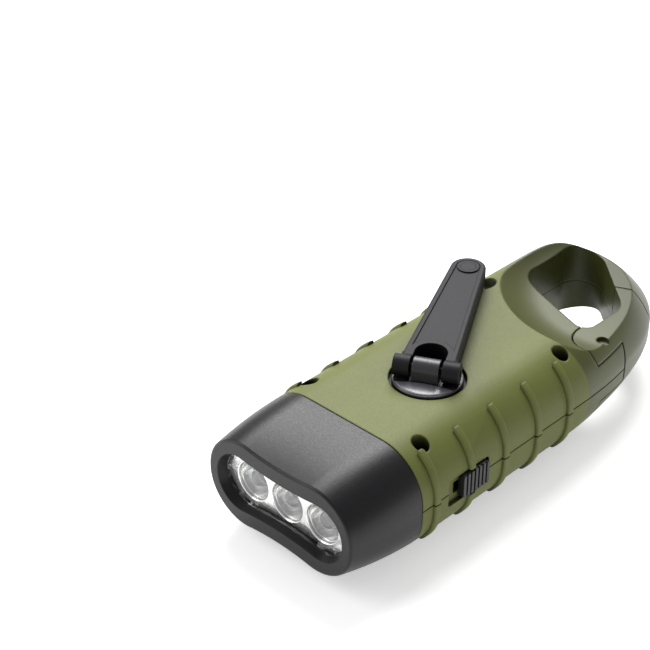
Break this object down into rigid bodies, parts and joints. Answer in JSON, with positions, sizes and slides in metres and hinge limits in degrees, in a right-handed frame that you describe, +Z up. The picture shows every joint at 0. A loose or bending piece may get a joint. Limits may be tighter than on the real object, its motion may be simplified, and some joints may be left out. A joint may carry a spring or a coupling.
{
  "type": "hand crank flashlight",
  "caption": "Pocket flashlight with a waisted lamp head, a folding hand crank and dynamo, a slide switch and a carabiner loop with spring gate.",
  "frame": {"origin": "centre of the underside of the bounding box, on the surface the flashlight rests on", "axes": "-Y is the way the lamp shines and +Y the carabiner loop, +Z is up through the crank, +X is the side with the slide switch and the gate"},
  "size_m": [0.052, 0.14, 0.0356],
  "materials": {
    "olive_shell": "fine matte moulded",
    "black_head": "satin moulded",
    "charcoal_crank": "matte moulded",
    "clear_window": "clear polished",
    "bright_reflector": "vacuum metallised",
    "led_epoxy": "clear epoxy",
    "green_board": "solder mask",
    "steel_screw": "zinc plated",
    "black_screw": "black zinc",
    "ivory_gear": "plain acetal",
    "ferrite_magnet": "sintered ferrite",
    "stator_steel": "pressed sheet",
    "bobbin_plastic": "plain",
    "copper_coil": "enamelled copper wire",
    "cell_case": "nickel plated",
    "black_switch": "satin moulded"
  },
  "bodies": {
    "case": {"upper_shell": "olive_shell", "lower_shell": "olive_shell", "gate_pin": "steel_screw", "lamp_head": "black_head", "lens_cover": "clear_window", "reflector": "bright_reflector", "leds": "led_epoxy", "led_board": "green_board", "board_screws": "steel_screw", "case_screws": "black_screw", "loop_screw": "black_screw", "idler_axles": "steel_screw", "gear_plate": "bobbin_plastic", "plate_screws": "steel_screw", "stator_cups": "stator_steel", "coil_bobbin": "bobbin_plastic", "coil_winding": "copper_coil", "battery_cells": "cell_case", "cell_tabs": "cell_case", "control_board": "green_board", "switch_body": "stator_steel"},
    "crank": {"crank_hub": "charcoal_crank", "crank_hinge_pin": "steel_screw", "drive_gear": "ivory_gear", "hub_screw": "steel_screw", "hub_washer": "steel_screw"},
    "arm": {"crank_arm": "charcoal_crank", "knob_rivet": "charcoal_crank"},
    "knob": {"crank_knob": "charcoal_crank"},
    "first_gear": {"idler_gear_one": "ivory_gear"},
    "second_gear": {"idler_gear_two": "ivory_gear"},
    "rotor": {"rotor_pinion": "ivory_gear", "rotor_magnet": "ferrite_magnet", "rotor_shaft": "steel_screw"},
    "switch": {"switch_knob": "black_switch"},
    "gate": {"gate": "olive_shell"}
  },
  "joints": [
    {"name": "crank_spin", "type": "hinge", "parent": "case", "child": "crank", "pos_m": [0.00273, -0.0211, 0.029], "axis": [0, 0, 1], "continuous": true},
    {"name": "crank_fold", "type": "hinge", "parent": "crank", "child": "arm", "pos_m": [0.00329, -0.02216, 0.0329], "axis": [0.8829, 0.4695, 0], "range_deg": [0, 180]},
    {"name": "knob_spin", "type": "hinge", "parent": "arm", "child": "knob", "pos_m": [-0.01887, 0.01952, 0.0315], "axis": [0, 0, 1], "continuous": true},
    {"name": "first_gear_spin", "type": "hinge", "parent": "case", "child": "first_gear", "pos_m": [0.01078, -0.00716, 0.017], "axis": [0, 0, 1], "continuous": true},
    {"name": "second_gear_spin", "type": "hinge", "parent": "case", "child": "second_gear", "pos_m": [-0.00274, -0.00353, 0.014], "axis": [0, 0, 1], "continuous": true},
    {"name": "rotor_spin", "type": "hinge", "parent": "case", "child": "rotor", "pos_m": [-0.00493, -0.01594, 0.007], "axis": [0, 0, 1], "continuous": true},
    {"name": "switch_slide", "type": "slide", "parent": "case", "child": "switch", "axis": [0, -1, 0], "range_m": [0, 0.004]},
    {"name": "gate_swing", "type": "hinge", "parent": "case", "child": "gate", "pos_m": [0.0196, 0.0282, 0.0168], "axis": [0, 0, 1], "range_deg": [0, 22], "stiffness_Nm_per_rad": 0.08}
  ],
  "couplings": [
    {"joint": "first_gear_spin", "follows": "crank_spin", "ratio": -3.6},
    {"joint": "second_gear_spin", "follows": "crank_spin", "ratio": 10.8},
    {"joint": "rotor_spin", "follows": "crank_spin", "ratio": -28.08}
  ]
}
